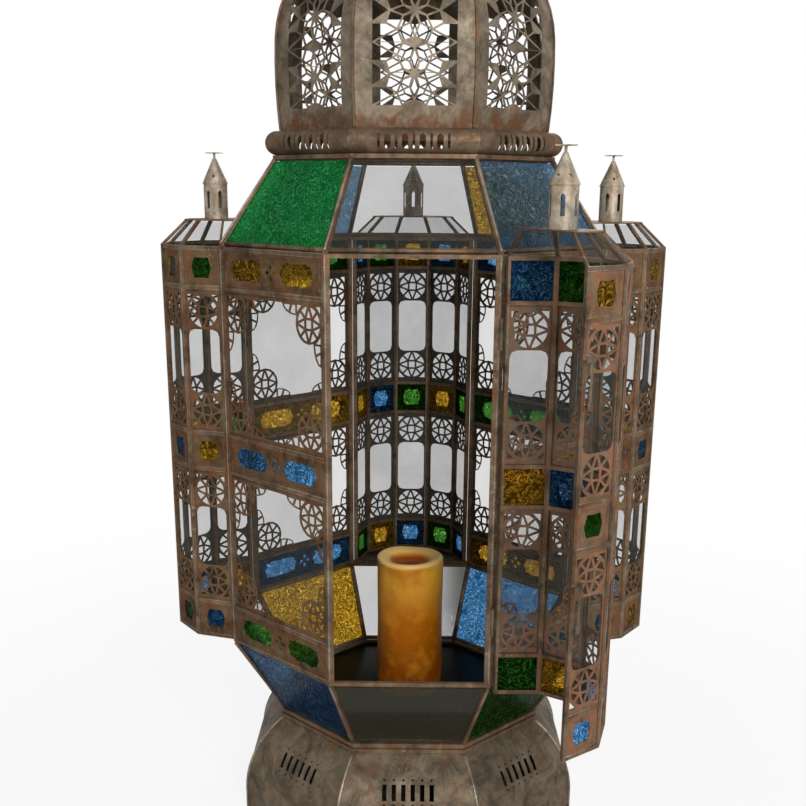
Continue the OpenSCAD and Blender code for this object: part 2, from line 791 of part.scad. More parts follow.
module ring_slots() {
    pitch = 10.5;
    for (i = [-4 : 4]) {
        w = i % 2 == 0 ? 3 : 7.5;
        translate([i * pitch, 0])
            polygon([[-w / 2, -9], [w / 2, -9], [w / 2, 9 - w / 2], [0, 9], [-w / 2, 9 - w / 2]]);
    }
}

module dome_ring() {
    color(dome_paint)
        for (i = [0 : 7])
            difference() {
                intersection() {
                    along_side(45 * i, side_at(mould_r + ring_h)) translate([0, z_roof_top])
                        dome_ring_profile();
                    mitre_slice(45 * i, (mould_r + ring_h) * 1.2, z_roof_top - 1, z_dome);
                }
                on_wall(45 * i, mould_r + ring_h / 4, z_roof_top + ring_h / 2)
                    linear_extrude(ring_h) ring_slots();
            }
}

// The dome's outline in apothem and height above its foot: barrel, shoulder
// and hollow curve, each starting where the last one ends, at the same slope
barrel_r = (belly_h * belly_h + belly * belly) / 2 / belly;
barrel_c = [dome_r + belly - barrel_r, belly_h];
barrel_end = asin((barrel_h - belly_h) / barrel_r);
shoulder_c = barrel_c + polar(barrel_r - shoulder_r, barrel_end);
ogee_c = shoulder_c + polar(shoulder_r + ogee_r, shoulder_end);
ogee_end = 8;
dome_top = ogee_c - polar(ogee_r, ogee_end);
// Slope at which the pierced gores end and the crown begins
crown_start = 30;

// A curved strip of thickness t from angle a0 to a1 of a circle
module arc_strip(c, r, a0, a1) {
    reach = r * 2;
    translate(c) intersection() {
        difference() {
            circle(r = r, $fn = 180);
            circle(r = r - dome_t, $fn = 180);
        }
        polygon([[0, 0], polar(reach, a0), polar(reach, (a0 + a1) / 2), polar(reach, a1)]);
    }
}

module ogee_strip() {
    reach = ogee_r * 2;
    translate(ogee_c) intersection() {
        difference() {
            circle(r = ogee_r + dome_t, $fn = 180);
            circle(r = ogee_r, $fn = 180);
        }
        polygon([[0, 0], polar(reach, 180 + ogee_end),
            polar(reach, 180 + (ogee_end + shoulder_end) / 2), polar(reach, 180 + shoulder_end)]);
    }
}

barrel_start = -asin(belly_h / barrel_r);
module lattice_profile() {
    arc_strip(barrel_c, barrel_r, barrel_start, barrel_end);
    arc_strip(shoulder_c, shoulder_r, barrel_end, crown_start);
}

module crown_profile() {
    arc_strip(shoulder_c, shoulder_r, crown_start, shoulder_end);
    ogee_strip();
}

star_rows = 2;
dome_holes = [for (j = [0 : star_rows - 1],
    l = star_holes(star_cell_w, star_cell_h, star_strap)) [for (p = l)
        [p[0], p[1] + dome_plain + star_cell_h * (j + 0.5)]]];

module dome_lattice() {
    top = shoulder_c[1] + shoulder_r * sin(crown_start);
    w = side_at(dome_r + belly) + 4;
    color(dome_paint)
        for (i = [0 : 7])
            intersection() {
                along_side(45 * i, w) translate([0, z_dome + joint_gap]) lattice_profile();
                mitre_slice(45 * i, dome_r * 1.3, z_dome, z_dome + top + 5);
                on_wall(45 * i, dome_r * 0.75, z_dome)
                    pierced_sheet([[-w / 2, -1], [w / 2, -1], [w / 2, top + 5],
                        [-w / 2, top + 5]], dome_holes, dome_r * 0.4);
            }
}

module dome_crown() {
    low = shoulder_c[1] + shoulder_r * sin(crown_start) - 5;
    color(dome_paint)
        for (i = [0 : 7])
            intersection() {
                along_side(45 * i, side_at(dome_r)) translate([0, z_dome + joint_gap * 2])
                    crown_profile();
                mitre_slice(45 * i, dome_r * 1.3, z_dome + low, z_dome + dome_top[1] + 5);
            }
}

// Beads along the eight corners of the dome
seam_w = 3;
seam_t = 1.6;
// The seams end a little below the finial
seam_end = ogee_end + 2;
seam_points = concat(
    [for (i = [0 : 4])
        barrel_c + polar(barrel_r, barrel_start + (barrel_end - barrel_start) * i / 4)],
    [for (i = [1 : 9])
        shoulder_c + polar(shoulder_r, barrel_end + (shoulder_end - barrel_end) * i / 9)],
    [for (i = [1 : 5])
        ogee_c - polar(ogee_r, shoulder_end + (seam_end - shoulder_end) * i / 5)]
);

module dome_seams() {
    // Each point is drawn out to the corner; the inner line clears the gores
    line = [for (p = seam_points) [(p[0] + joint_gap * 4) / cos(half), p[1]]];
    color(frame_paint)
        for (i = [0 : 7])
            rotate([0, 0, half + 45 * i]) rotate([90, 0, -90])
                translate([0, z_dome + joint_gap * 3])
                linear_extrude(seam_w, center = true)
                    polygon(concat(line,
                        [for (j = [len(line) - 1 : -1 : 0]) line[j] + [seam_t, seam_t / 4]]));
}

module finial() {
    r = dome_top[0] / cos(half) + 3;
    h = finial_h;
    color(frame_paint) translate([0, 0, z_dome + dome_top[1] + joint_gap * 4])
        rotate_extrude($fn = 64) polygon(concat(
            [[0, 0], [r, 0], [r, 3], [r * 0.55, 5], [r * 0.3, h * 0.16]],
            [for (a = [-60 : 20 : 60]) [0, h * 0.34] + polar(h * 0.16, a)],
            [[r * 0.16, h * 0.52], [r * 0.24, h * 0.58], [r * 0.24, h * 0.61],
                [r * 0.12, h * 0.66], [0, h]]
        ));
}

// ---- Door hardware -------------------------------------------------------

// Heights of the middle of the two hinges
hinge_zs = [z_sill + hinge_inset, z_eave - hinge_inset];
knuckle_gap = 0.3;

module knuckle(z) {
    translate([hinge_x, hinge_y, z]) cylinder(r = knuckle_r, h = knuckle_l);
}

module pin_bore(z) {
    translate([hinge_x, hinge_y, z - knuckle_l * 2])
        cylinder(r = pin_r + pin_gap, h = knuckle_l * 4);
}

// Outer and inner knuckles of a hinge in the middle z
function fixed_knuckles(z) = [z - 1.5 * knuckle_l - knuckle_gap, z + knuckle_l / 2 + knuckle_gap];

// The fixed plate lies on the post's leg on the front right wall
module hinge_plates() {
    plate_x = hinge_x * cos(45) + hinge_y * sin(45);
    plate_y = wall_r + frame_t / 2 + joint_gap;
    plate_w = post_leg + 8;
    color(frame_paint)
        for (z = hinge_zs)
            difference() {
                for (k = fixed_knuckles(z)) {
                    knuckle(k);
                    on_wall(front_right, plate_y, k) translate([plate_x, 0, 0])
                        cube([plate_w, knuckle_l, hinge_t]);
                }
                pin_bore(z);
            }
}

// The moving strap lies on the outer side of the door's last post
module hinge_straps() {
    a = 2 * turret_turn;
    // The hinge axis seen from the last post's corner, along and out of its face
    v = [hinge_x - turret_r, hinge_y + door_seat];
    out = v * [sin(a), -cos(a)];
    along = v * [cos(a), sin(a)];
    seat = frame_t / 2 + joint_gap;
    strap_l = 12;
    // How far the strap may pass the post's corner towards the wall
    over = min(along, 0.4);
    color(frame_paint)
        open_door()
        for (z = hinge_zs)
            difference() {
                union() {
                    knuckle(z - knuckle_l / 2);
                    translate([turret_r, -door_seat, z - knuckle_l / 2])
                        rotate([0, 0, a - 90]) {
                            translate([seat, -strap_l, 0])
                                cube([hinge_t, strap_l + over, knuckle_l]);
                            translate([seat, over - hinge_t / 2, 0])
                                cube([out - seat - pin_r - 1, hinge_t, knuckle_l]);
                        }
                }
                pin_bore(z);
            }
}

module hinge_pins() {
    head_h = 1.5;
    color(frame_paint)
        for (z = hinge_zs)
            translate([hinge_x, hinge_y, z - 1.5 * knuckle_l - knuckle_gap]) {
                cylinder(r = pin_r, h = 3 * knuckle_l + 2 * knuckle_gap + 0.1);
                translate([0, 0, 3 * knuckle_l + 2 * knuckle_gap + 0.1])
                    cylinder(r = pin_r + 1, h = head_h);
            }
}

// The latches turn flat against the front left wall. In the frame of that
// wall the closed door's free post carries the pivot, level with its corner.
latch_plane = wall_r + frame_t / 2 + 4;
peg_over = 0.3;
pivot_x = (door_seat - turret_r) * cos(45) + peg_over;
keeper_x = side / 2 - post_leg / 2;
keeper_r = 1.2;
keeper_gap = 0.4;
peg_cap = 1;
peg_l = latch_plane - (door_seat + turret_r) * cos(45) + peg_over;

module latch_keeper(z) {
    seat = wall_r + frame_t / 2 + joint_gap;
    on_wall(front_left, seat, z) translate([keeper_x, 0, 0])
        cylinder(r = keeper_r, h = latch_plane - seat + latch_t + 1);
}

// A flat lever: a nose with a notch that drops over the keeper, and a tail
// that hangs down and ends in a finger ring
module latch_lever(z) {
    reach = pivot_x - keeper_x;
    notch_r = keeper_r + keeper_gap;
    nose_top = notch_r + 1.9;
    nose_low = 2;
    nose_l = reach + notch_r + 3;
    tail_w = 4;
    ring_r = 6;
    ring_y = -tail_l - ring_r + 1.5;
    color(frame_paint) on_wall(front_left, latch_plane, z) translate([pivot_x, 0, 0])
        linear_extrude(latch_t) difference() {
            union() {
                circle(r = pivot_r + 2.6);
                translate([-nose_l, -nose_low]) square([nose_l, nose_low + nose_top]);
                translate([-tail_w / 2, -tail_l]) square([tail_w, tail_l]);
                translate([0, ring_y]) circle(r = ring_r);
            }
            circle(r = pivot_r + pin_gap);
            translate([0, ring_y]) circle(r = ring_r - 2.2);
            translate([-reach - notch_r, -nose_low - 1])
                square([2 * notch_r, nose_low + 1 + notch_r]);
        }
}

module latch_peg(z) {
    difference() {
        on_wall(front_left, latch_plane - peg_l, z) translate([pivot_x, 0, 0]) {
            cylinder(r = pivot_r + 1.2, h = peg_l - joint_gap);
            cylinder(r = pivot_r, h = peg_l + latch_t + joint_gap + peg_cap);
            translate([0, 0, peg_l + latch_t + joint_gap])
                cylinder(r = pivot_r + 1.2, h = peg_cap);
        }
        // Cut off flat where the collar meets the post
        translate([-turret_r, -door_seat, z - 10]) rotate([0, 0, -2 * turret_turn])
            translate([-30, -frame_t / 2 - joint_gap, 0]) cube([60, 60, 20]);
    }
}

module door_frame() {
    open_door() {
        at_turret(front, door_seat) turret_frame(0);
        color(frame_paint)
            for (drop = [upper_latch_drop, lower_latch_drop]) latch_peg(z_eave - drop);
    }
}

module door_glass(colour) {
    color(paint_of(colour)) open_door() at_turret(front, door_seat)
        turret_field_panes(door_colours, colour);
}

// ---- Drawing -------------------------------------------------------------

base_plate();
base_skirt();
neck_band();
skirt_frame();
skirt_glass("clear");  // skirt_glass_clear
skirt_glass("blue");  // skirt_glass_blue
skirt_glass("green");  // skirt_glass_green
skirt_glass("amber");  // skirt_glass_amber
floor_plate();
candle();
candle_wick();
corner_posts();
wall_rails();
wall_screen(front_left);  // front_left_screen
wall_screen(front_right);  // front_right_screen
wall_screen(rear_left);  // rear_left_screen
wall_screen(rear_right);  // rear_right_screen
window_glass();
band_glass("amber");  // band_glass_amber
band_glass("blue");  // band_glass_blue
band_glass("green");  // band_glass_green
band_glass("clear");  // band_glass_clear
at_turret(left) turret_frame(plate_back);  // left_turret_frame
at_turret(rear) turret_frame(plate_back);  // rear_turret_frame
at_turret(right) turret_frame(plate_back);  // right_turret_frame
at_turret(left) turret_screen();  // left_turret_screen
at_turret(rear) turret_screen();  // rear_turret_screen
at_turret(right) turret_screen();  // right_turret_screen
at_turret(left) turret_windows();  // left_turret_glass
at_turret(rear) turret_windows();  // rear_turret_glass
at_turret(right) turret_windows();  // right_turret_glass
at_turret(left) turret_roof();  // left_turret_roof
at_turret(rear) turret_roof();  // rear_turret_roof
at_turret(right) turret_roof();  // right_turret_roof
at_turret(left) minaret();  // left_minaret
at_turret(rear) minaret();  // rear_minaret
at_turret(right) minaret();  // right_minaret
roof_frame();
roof_glass("clear");  // roof_glass_clear
roof_glass("green");  // roof_glass_green
roof_glass("blue");  // roof_glass_blue
roof_glass("amber");  // roof_glass_amber
dome_ring();
dome_lattice();
dome_seams();
dome_crown();
finial();
door_frame();
open_door() at_turret(front, door_seat) turret_screen();  // door_screen
open_door() at_turret(front, door_seat) turret_windows();  // door_window_glass
open_door() at_turret(front, door_seat) turret_roof();  // door_roof
open_door() at_turret(front, door_seat) minaret();  // door_minaret
door_glass("amber");  // door_glass_amber
door_glass("blue");  // door_glass_blue
door_glass("green");  // door_glass_green
hinge_plates();
hinge_straps();
hinge_pins();
open_door() latch_lever(z_eave - upper_latch_drop);  // upper_latch
open_door() latch_lever(z_eave - lower_latch_drop);  // lower_latch
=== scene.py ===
import math

import bmesh
import bpy
import numpy as np
from mathutils import Matrix


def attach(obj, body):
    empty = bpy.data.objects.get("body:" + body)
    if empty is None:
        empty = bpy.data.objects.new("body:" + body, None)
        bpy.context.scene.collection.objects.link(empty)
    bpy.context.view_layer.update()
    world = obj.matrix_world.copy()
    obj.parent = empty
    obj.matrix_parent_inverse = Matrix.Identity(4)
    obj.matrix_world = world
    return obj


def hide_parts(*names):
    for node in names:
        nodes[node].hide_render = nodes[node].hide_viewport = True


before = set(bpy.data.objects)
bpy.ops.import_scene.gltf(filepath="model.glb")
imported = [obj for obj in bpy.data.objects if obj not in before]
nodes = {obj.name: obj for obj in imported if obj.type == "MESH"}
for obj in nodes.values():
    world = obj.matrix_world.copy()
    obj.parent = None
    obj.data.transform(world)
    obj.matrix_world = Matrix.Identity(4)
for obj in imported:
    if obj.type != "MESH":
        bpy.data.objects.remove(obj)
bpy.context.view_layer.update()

# ---- Sizes shared with the solids, in metres ----
SIDE = 0.205                          # one side of the octagon
HALF = math.radians(22.5)             # half the angle that a side takes up
WALL_R = SIDE / 2 / math.tan(HALF)    # from the axis to a wall's middle plane
FRAME_T = 0.006
FACE_R = WALL_R + FRAME_T / 2
RECESS = 0.001                        # how far a sheet lies behind its rails
NECK, SKIRT, SILL, EAVE = 0.140, 0.154, 0.270, 0.820
ROOF_TOP, DOME_FOOT = 0.934, 0.964
ROOF_TOP_R, NECK_R = 0.179, 0.184
BASE_R, BASE_WALL = 0.240, 0.034
RAIL_H, BAND_H = 0.005, 0.046
TIER_H = (EAVE - SILL - 6 * RAIL_H - 3 * BAND_H) / 2
FIELDS = (BAND_H, TIER_H, BAND_H, TIER_H, BAND_H)
TURRET_R = 0.094
TURN = math.radians(36)               # from one turret face to the next
TURRET_RA = TURRET_R * math.cos(TURN / 2)
TURRET_W = 2 * TURRET_R * math.sin(TURN / 2)
LEG, TURRET_LEG = 0.005, 0.004        # what a post covers of a face's edge
SEAT = FACE_R + 0.0001                # from the axis to a turret's open back
DOOR_SEAT = FACE_R + 0.0005
HINGE = np.array([SIDE / 2 + 0.0045, -(WALL_R + 0.006)])
DOOR_OPEN = math.radians(110)
CARTOUCHE_H, CARTOUCHE_W = 0.029, 0.029
LONG_W, LONG_OFF = 0.066, 0.050       # a wall's long cartouche, and how far off its middle
CANDLE_FOOT, CANDLE_R, CANDLE_TOP = 0.156, 0.050, 0.369

# ---- Trim that only this model has, in metres ----
LINE_R = 0.0007                       # a pressed line's radius
FRAME_LINES = ((0.0035, LINE_R), (0.0058, 0.0005))    # each line's inset and radius
FRAME_CORNER = 0.003
CARTOUCHE_RIM = 0.004                 # what a rim adds to a cartouche's width
SHORT_LOBES, LONG_LOBES = 6, 8
FIELD_LINE_INSET, FIELD_LINE_END = 0.0025, 0.002
EDGE_R, EDGE_DEPTH, EDGE_INSET = 0.0008, 0.0007, 0.0003
TURRET_SEAM_R, TURRET_SEAM_DEPTH = 0.0016, 0.0014
BASE_SEAM_R = 0.0018
CAME_R = 0.0034
TURRET_FLOOR_T, TURRET_FLOOR_LAP = 0.0015, 0.0002
# Each seam at a corner of the octagon: (reach, height) at its foot and its top,
# and its radius, for the posts, the roof's bars and the skirt's bars
CORNER_SEAMS = (
    ((FACE_R - 0.0006, SILL), (FACE_R - 0.0006, EAVE), 0.0014),
    ((FACE_R - 0.001, EAVE + 0.004), (ROOF_TOP_R + 0.002, ROOF_TOP - 0.005), 0.0016),
    ((NECK_R + 0.002, SKIRT + 0.004), (FACE_R - 0.001, SILL - 0.003), 0.0016))
SKIRT_CAMES = (NECK_R - 0.0005, SKIRT + 0.0042), (WALL_R - 0.0042, SILL - 0.001)
ROOF_CAMES = (WALL_R - 0.0040, EAVE + 0.0035), (ROOF_TOP_R - 0.0026, ROOF_TOP - 0.0032)

# ---- Camera and light, fitted to the photograph ----
PHOTO_WIDTH, AXIS_ROW = 806, 509.3    # pixels; the row that the lens axis meets
LENS, SENSOR = 49.52, 36              # millimetres
CAMERA_PLACE = (-0.0004, -1.5752, EAVE + 0.0718)
CAMERA_TURN, CAMERA_TIP, CAMERA_ROLL = 0.39, 16.05, 0.41    # degrees
FLOOR_HALF = 6.0
GLOW_NEAR, GLOW_START, GLOW_FULL = 0.87, 0.25, 1.8    # share at the foot; distances
WORLD_LIGHT = 0.16
# Name, place, aim, size and power of each lamp
LAMPS = (("key", (0.8, -3.0, 1.9), (0, 0, 0.75), 1.2, 94),
         ("fill", (-2.2, -1.5, 1.7), (0, 0, 0.6), 1.6, 2),
         ("rim", (0.4, 2.4, 2.0), (0, 0, 0.8), 1.6, 24))


def place_camera():
    """Pinhole at the photograph's place: turned left, tipped down and rolled,
    with the frame shifted up until the lens axis meets AXIS_ROW."""
    cam = bpy.data.cameras.new("photo_camera")
    cam.lens = LENS
    cam.sensor_width = SENSOR
    cam.shift_x = 0.0
    cam.shift_y = (AXIS_ROW - PHOTO_WIDTH / 2) / PHOTO_WIDTH
    ob = bpy.data.objects.new("photo_camera", cam)
    turn = Matrix.Rotation(math.radians(CAMERA_TURN), 4, "Z")
    tip = Matrix.Rotation(math.radians(90 - CAMERA_TIP), 4, "X")
    roll = Matrix.Rotation(math.radians(CAMERA_ROLL), 4, "Z")
    ob.matrix_world = Matrix.Translation(CAMERA_PLACE) @ turn @ tip @ roll
    bpy.context.collection.objects.link(ob)
    bpy.context.scene.camera = ob


# ---- Shader helpers ----
RGB, VAL = "NodeSocketColor", "NodeSocketFloat"


def new_group(name, ins, outs):
    """An empty node group with (name, kind, value) inputs and (name, kind) outputs."""
    g = bpy.data.node_groups.new(name, "ShaderNodeTree")
    for label, kind, value in ins:
        s = g.interface.new_socket(label, in_out="INPUT", socket_type=kind)
        s.default_value = value
    for label, kind in outs:
        g.interface.new_socket(label, in_out="OUTPUT", socket_type=kind)
    return g, g.nodes.new("NodeGroupInput"), g.nodes.new("NodeGroupOutput")


def feed(tree, socket, value):
    """Joins value to socket if it is a socket itself, or sets it."""
    if hasattr(value, "links"):
        tree.links.new(value, socket)
    else:
        socket.default_value = value


def object_place(tree):
    """The shaded point in the piece's own axes."""
    return tree.nodes.new("ShaderNodeTexCoord").outputs["Object"]


def noise(tree, vector, scale, detail=4.0, rough=0.55, warp=0.0):
    """Cloudy noise between 0 and 1 at vector."""
    n = tree.nodes.new("ShaderNodeTexNoise")
    feed(tree, n.inputs["Scale"], scale)
    n.inputs["Detail"].default_value = detail
    n.inputs["Roughness"].default_value = rough
    n.inputs["Distortion"].default_value = warp
    tree.links.new(vector, n.inputs["Vector"])
    return n.outputs["Fac"]


def ramp(tree, value, low, high, smooth=False):
    """value drawn out so that low becomes 0 and high 1."""
    n = tree.nodes.new("ShaderNodeMapRange")
    if smooth:
        n.interpolation_type = "SMOOTHSTEP"
    feed(tree, n.inputs["From Min"], low)
    feed(tree, n.inputs["From Max"], high)
    tree.links.new(value, n.inputs["Value"])
    return n.outputs["Result"]


def mix(tree, factor, a, b):
    """Colour a where factor is 0 and b where it is 1."""
    n = tree.nodes.new("ShaderNodeMix")
    n.data_type = "RGBA"
    for socket, value in ((0, factor), (6, a), (7, b)):
        feed(tree, n.inputs[socket], value)
    return n.outputs[2]


def calc(tree, op, a, b=0.0):
    """One operation on a, or on a and b."""
    n = tree.nodes.new("ShaderNodeMath")
    n.operation = op
    feed(tree, n.inputs[0], a)
    feed(tree, n.inputs[1], b)
    return n.outputs[0]


def split_xyz(tree, vector):
    n = tree.nodes.new("ShaderNodeSeparateXYZ")
    tree.links.new(vector, n.inputs[0])
    return n.outputs


def patina_group():
    """Aged sheet: a bare tone clouded with a dark one, patches of rust, drawn
    out downward, a scatter of pale scuffs, and fine grain for height and gloss."""
    g, i, o = new_group("patina", [
        ("Bare", RGB, (0.12, 0.09, 0.06, 1)), ("Dark", RGB, (0.05, 0.04, 0.03, 1)),
        ("Rust", RGB, (0.16, 0.07, 0.04, 1)), ("Pale", RGB, (0.24, 0.2, 0.15, 1)),
        ("Rust amount", VAL, 0.5), ("Roughness", VAL, 0.55)],
        [("Color", RGB), ("Roughness", VAL), ("Height", VAL)])
    at = object_place(g)
    cloud = ramp(g, noise(g, at, 30, detail=7, rough=0.66, warp=0.6), 0.38, 0.62)
    tone = mix(g, cloud, i.outputs["Bare"], i.outputs["Dark"])
    long = g.nodes.new("ShaderNodeMapping")
    long.inputs["Scale"].default_value = (1.0, 1.0, 0.55)
    g.links.new(at, long.inputs["Vector"])
    rust = noise(g, long.outputs[0], 62, detail=8, rough=0.7, warp=1.0)
    # The more rust, the lower the level above which the noise turns to rust
    edge = calc(g, "SUBTRACT", 0.84, calc(g, "MULTIPLY", i.outputs["Rust amount"], 0.55))
    patch = ramp(g, rust, calc(g, "SUBTRACT", edge, 0.2), calc(g, "ADD", edge, 0.1), True)
    tone = mix(g, patch, tone, i.outputs["Rust"])
    scuff = ramp(g, noise(g, at, 190, detail=5, rough=0.72, warp=0.6), 0.56, 0.74)
    wide = ramp(g, noise(g, at, 17, detail=3, rough=0.5), 0.4, 0.66)
    tone = mix(g, calc(g, "MULTIPLY", calc(g, "MULTIPLY", scuff, wide), 0.85), tone,
               i.outputs["Pale"])
    fine = noise(g, at, 520, detail=5, rough=0.7)
    shine = calc(g, "ADD", i.outputs["Roughness"],
                 calc(g, "MULTIPLY", calc(g, "SUBTRACT", fine, 0.5), 0.4))
    shine = calc(g, "ADD", shine, calc(g, "MULTIPLY", patch, 0.15))
    dents = noise(g, at, 70)
    height = calc(g, "ADD", calc(g, "MULTIPLY", fine, 0.25),
                  calc(g, "ADD", calc(g, "MULTIPLY", dents, 0.6),
                       calc(g, "MULTIPLY", patch, -0.15)))
    g.links.new(tone, o.inputs["Color"])
    g.links.new(shine, o.inputs["Roughness"])
    g.links.new(height, o.inputs["Height"])
    return g


def relief_group():
    """Pressed glass: fine curls, where a warped cloud crosses evenly spaced levels, broken up by
    grain. The tint is deepest in the hollows and thins to a lighter colour on the curls, which also
    paints glints on them; Fleck is the share of the curls that carry these painted glints."""
    g, i, o = new_group("pressed_glass", [
        ("Tint", RGB, (0.1, 0.4, 0.2, 1)), ("Thin and glint", RGB, (0.4, 0.8, 0.5, 1)),
        ("Scale", VAL, 70.0), ("Fleck", VAL, 0.5)],
        [("Color", RGB), ("Height", VAL)])
    at = object_place(g)
    cloud = noise(g, at, i.outputs["Scale"], detail=1.0, rough=0.5, warp=1.0)
    levels = 22.0
    wave = calc(g, "ABSOLUTE", calc(g, "SINE", calc(g, "MULTIPLY", cloud, levels)))
    curl = ramp(g, wave, 0.85, 0.2, True)
    grain = noise(g, at, 260, detail=3, rough=0.6)
    edge = calc(g, "SUBTRACT", 0.72, calc(g, "MULTIPLY", i.outputs["Fleck"], 0.4))
    # Painted glints: bright flecks where the grain peaks on the curls
    shine = calc(g, "MULTIPLY", curl, ramp(g, grain, calc(g, "SUBTRACT", edge, 0.12), edge, True))
    depth = ramp(g, noise(g, at, 19, detail=3), 0.3, 0.72)
    thick = (0.004, 0.006, 0.006, 1)
    tint = mix(g, calc(g, "MULTIPLY", depth, 0.55), i.outputs["Tint"], thick)
    g.links.new(mix(g, shine, tint, i.outputs["Thin and glint"]), o.inputs["Color"])
    height = calc(g, "ADD", calc(g, "MULTIPLY", curl, 0.5), calc(g, "MULTIPLY", grain, 0.8))
    g.links.new(height, o.inputs["Height"])
    return g


PATINA = patina_group()
RELIEF = relief_group()
# Low gloss keeps the white surroundings out of the metal's colour
METAL_GLOSS, METAL_GLOSS_TINT = 0.06, (0.45, 0.4, 0.34, 1)


def base_material(name):
    m = bpy.data.materials.new(name)
    m.use_nodes = True
    shader = m.node_tree.nodes["Principled BSDF"]
    return m, m.node_tree, shader


def bump(tree, shader, height, strength, distance):
    n = tree.nodes.new("ShaderNodeBump")
    n.inputs["Strength"].default_value = strength
    n.inputs["Distance"].default_value = distance
    tree.links.new(height, n.inputs["Height"])
    tree.links.new(n.outputs["Normal"], shader.inputs["Normal"])


def metal(name, bare, dark, rust, pale, amount, roughness, metallic, dent=0.0006, stain=None):
    """Patinated metal with the given amount of rust; stain = (low, high) is a
    stretch of height in which the rust closes up from top to bottom."""
    m, tree, shader = base_material(name)
    g = tree.nodes.new("ShaderNodeGroup")
    g.node_tree = PATINA
    for label, value in (("Bare", bare), ("Dark", dark), ("Rust", rust), ("Pale", pale)):
        g.inputs[label].default_value = (*value, 1)
    g.inputs["Rust amount"].default_value = amount
    if stain:
        at = object_place(tree)
        wet = ramp(tree, split_xyz(tree, at)["Z"], stain[1], stain[0], True)
        ragged = calc(tree, "MULTIPLY", wet, ramp(tree, noise(tree, at, 40, rough=0.6), 0.25, 0.75))
        more = calc(tree, "ADD", amount, calc(tree, "MULTIPLY", ragged, 0.55))
        tree.links.new(more, g.inputs["Rust amount"])
    g.inputs["Roughness"].default_value = roughness
    shader.inputs["Metallic"].default_value = metallic
    shader.inputs["Specular IOR Level"].default_value = METAL_GLOSS
    shader.inputs["Specular Tint"].default_value = METAL_GLOSS_TINT
    tree.links.new(g.outputs["Color"], shader.inputs["Base Color"])
    tree.links.new(g.outputs["Roughness"], shader.inputs["Roughness"])
    bump(tree, shader, g.outputs["Height"], 0.5, dent)
    return m


def coloured_glass(name, tint, thin_and_glint, scale=70, fleck=0.6, through=0.9, trellis=0.0):
    """Pressed glass of one colour, which lets the share called through pass;
    trellis adds crossed lines that far apart, which run diagonally over a pane
    that faces 45 degrees off the front."""
    m, tree, shader = base_material(name)
    g = tree.nodes.new("ShaderNodeGroup")
    g.node_tree = RELIEF
    g.inputs["Tint"].default_value = (*tint, 1)
    g.inputs["Thin and glint"].default_value = (*thin_and_glint, 1)
    g.inputs["Scale"].default_value = scale
    g.inputs["Fleck"].default_value = fleck
    colour, height = g.outputs["Color"], g.outputs["Height"]
    if trellis:
        xyz = split_xyz(tree, object_place(tree))
        slope = 1.16    # a roof pane's sloping height over its rise
        along = calc(tree, "MULTIPLY", calc(tree, "ADD", xyz["X"], xyz["Y"]), math.sqrt(0.5))
        up = calc(tree, "MULTIPLY", xyz["Z"], slope)
        lines = None
        for op in ("ADD", "SUBTRACT"):
            wave = calc(tree, "SINE", calc(tree, "MULTIPLY", calc(tree, op, along, up),
                                           math.pi / trellis))
            line = ramp(tree, calc(tree, "ABSOLUTE", wave), 0.42, 0.08, True)
            lines = line if lines is None else calc(tree, "MAXIMUM", lines, line)
        grey = (0.20, 0.19, 0.15, 1)
        colour = mix(tree, calc(tree, "MULTIPLY", lines, 0.65), colour, grey)
        height = calc(tree, "ADD", height, calc(tree, "MULTIPLY", lines, 0.7))
    tree.links.new(colour, shader.inputs["Base Color"])
    shader.inputs["Roughness"].default_value = 0.2
    shader.inputs["IOR"].default_value = 1.05
    shader.inputs["Transmission Weight"].default_value = through
    bump(tree, shader, height, 0.6, 0.0006)
    return m


def clear_glass(name, veil, tone, front=0.0, right=0.0):
    """Old clear glass: a grey veil of the given alpha, uneven with dust, and a
    slightly wavy face. The veil grows by front on panes before the lantern's
    middle, and by right behind the middle, towards the right."""
    m, tree, shader = base_material(name)
    at = object_place(tree)
    shader.inputs["Base Color"].default_value = (*tone, 1)
    shader.inputs["Roughness"].default_value = 0.06
    shader.inputs["IOR"].default_value = 1.2
    haze = ramp(tree, noise(tree, at, 11, rough=0.6), 0.3, 0.75)
    dust = calc(tree, "ADD", veil * 0.85, calc(tree, "MULTIPLY", haze, veil * 0.3))
    if front or right:
        xyz, middle = split_xyz(tree, at), 0.02
        before = ramp(tree, xyz["Y"], middle, -middle)
        beside = calc(tree, "MULTIPLY", ramp(tree, xyz["X"], 0.03, 0.09),
                      ramp(tree, xyz["Y"], -middle, middle))
        dust = calc(tree, "ADD", dust, calc(tree, "ADD", calc(tree, "MULTIPLY", before, front),
                                            calc(tree, "MULTIPLY", beside, right)))
    tree.links.new(dust, shader.inputs["Alpha"])
    bump(tree, shader, noise(tree, at, 18, detail=2, rough=0.5), 0.15, 0.0006)
    return m


